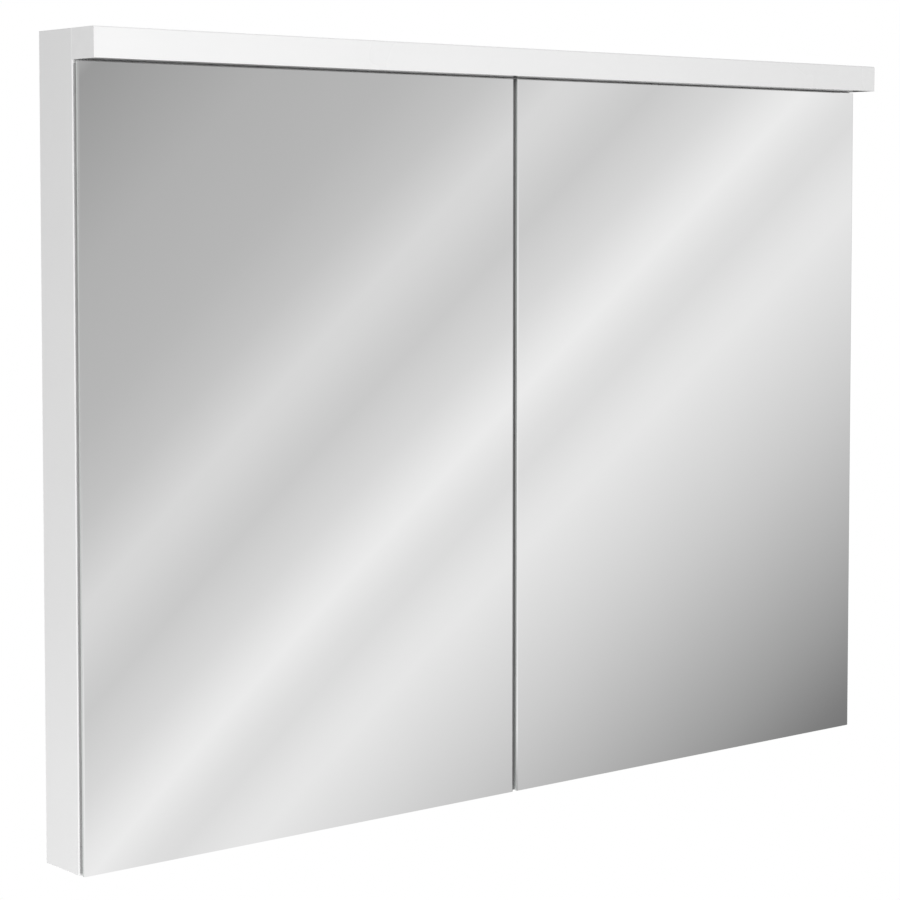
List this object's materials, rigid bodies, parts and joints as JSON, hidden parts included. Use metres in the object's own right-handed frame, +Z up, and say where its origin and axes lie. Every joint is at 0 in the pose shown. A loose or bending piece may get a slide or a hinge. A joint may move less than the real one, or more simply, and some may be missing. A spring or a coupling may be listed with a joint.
{
  "type": "medicine cabinet with mirror",
  "caption": "Slim white wall cabinet with mirror doors on continuous hinges, glass shelves inside and a light bar across the top.",
  "frame": {"origin": "middle of the four wall fixing holes, in the wall plane", "axes": "+X along the wall to the right as seen from the front, +Y into the wall, +Z up; the doors face -Y"},
  "size_m": [1, 0.092, 0.74],
  "materials": {
    "white_board": "satin white lacquer on fibre board",
    "white_steel": "white powder coat",
    "dowel_wood": "plain beech",
    "mirror_front": "silvered, polished edges",
    "mirror_rear": "silvered",
    "shelf_glass": "clear, polished edges",
    "hinge_steel": "satin stainless",
    "screw_steel": "zinc plated",
    "plate_steel": "galvanised",
    "support_nickel": "nickel plated",
    "magnet_dark": "ferrite",
    "white_plastic": "moulded, fine texture",
    "opal_acrylic": "satin opal",
    "base_aluminium": "dark anodised",
    "led_board_white": "solder mask",
    "led_yellow": "phosphor",
    "device_grey": "moulded",
    "lead_white": "flexible sheath",
    "grommet_rubber": "soft",
    "buffer_clear": "clear silicone",
    "switch_black": "moulded",
    "seal_grey": "soft foam strip"
  },
  "bodies": {
    "cabinet": {"back_panel": "white_board", "bottom_panel": "white_board", "cable_grommet": "grommet_rubber", "carcass_dowels": "dowel_wood", "catch_bodies": "white_plastic", "catch_magnets": "magnet_dark", "centre_partition": "white_board", "centre_seal": "seal_grey", "cover_screws": "screw_steel", "device_screws": "screw_steel", "driver_lead": "lead_white", "fixing_plates": "plate_steel", "hinge_screws": "screw_steel", "led_board": "led_board_white", "led_chips": "led_yellow", "led_driver": "device_grey", "led_lead": "lead_white", "left_hinge_frame_leaf": "hinge_steel", "left_hinge_pin": "hinge_steel", "left_light_end_cap": "white_plastic", "left_lower_shelf": "shelf_glass", "left_side_panel": "white_board", "left_upper_shelf": "shelf_glass", "light_base": "base_aluminium", "light_rail": "white_board", "light_screws": "screw_steel", "opal_cover": "opal_acrylic", "rear_cleat": "white_board", "recess_divider": "white_board", "right_hinge_frame_leaf": "hinge_steel", "right_hinge_pin": "hinge_steel", "right_light_end_cap": "white_plastic", "right_lower_shelf": "shelf_glass", "right_side_panel": "white_board", "right_upper_shelf": "shelf_glass", "rocker_pin": "screw_steel", "service_cover": "white_steel", "shelf_supports": "support_nickel", "supply_lead": "lead_white", "switch_housing": "switch_black", "terminal_block": "device_grey", "top_panel": "white_board"},
    "left_door": {"left_front_mirror": "mirror_front", "left_rear_mirror": "mirror_rear", "left_hinge_door_leaf": "hinge_steel", "left_strike_plate": "plate_steel", "left_door_buffers": "buffer_clear"},
    "right_door": {"right_front_mirror": "mirror_front", "right_rear_mirror": "mirror_rear", "right_hinge_door_leaf": "hinge_steel", "right_strike_plate": "plate_steel", "right_door_buffers": "buffer_clear"},
    "rocker": {"switch_rocker": "switch_black"}
  },
  "joints": [
    {"name": "left_door_swing", "type": "hinge", "parent": "cabinet", "child": "left_door", "pos_m": [-0.498, -0.0575, 0], "axis": [0, 0, -1], "range_deg": [0, 110]},
    {"name": "right_door_swing", "type": "hinge", "parent": "cabinet", "child": "right_door", "pos_m": [0.498, -0.0575, 0], "axis": [0, 0, 1], "range_deg": [0, 110]},
    {"name": "rocker_tip", "type": "hinge", "parent": "cabinet", "child": "rocker", "pos_m": [0.34, -0.025, 0.3243], "axis": [0, 1, 0], "range_deg": [0, 14]}
  ]
}
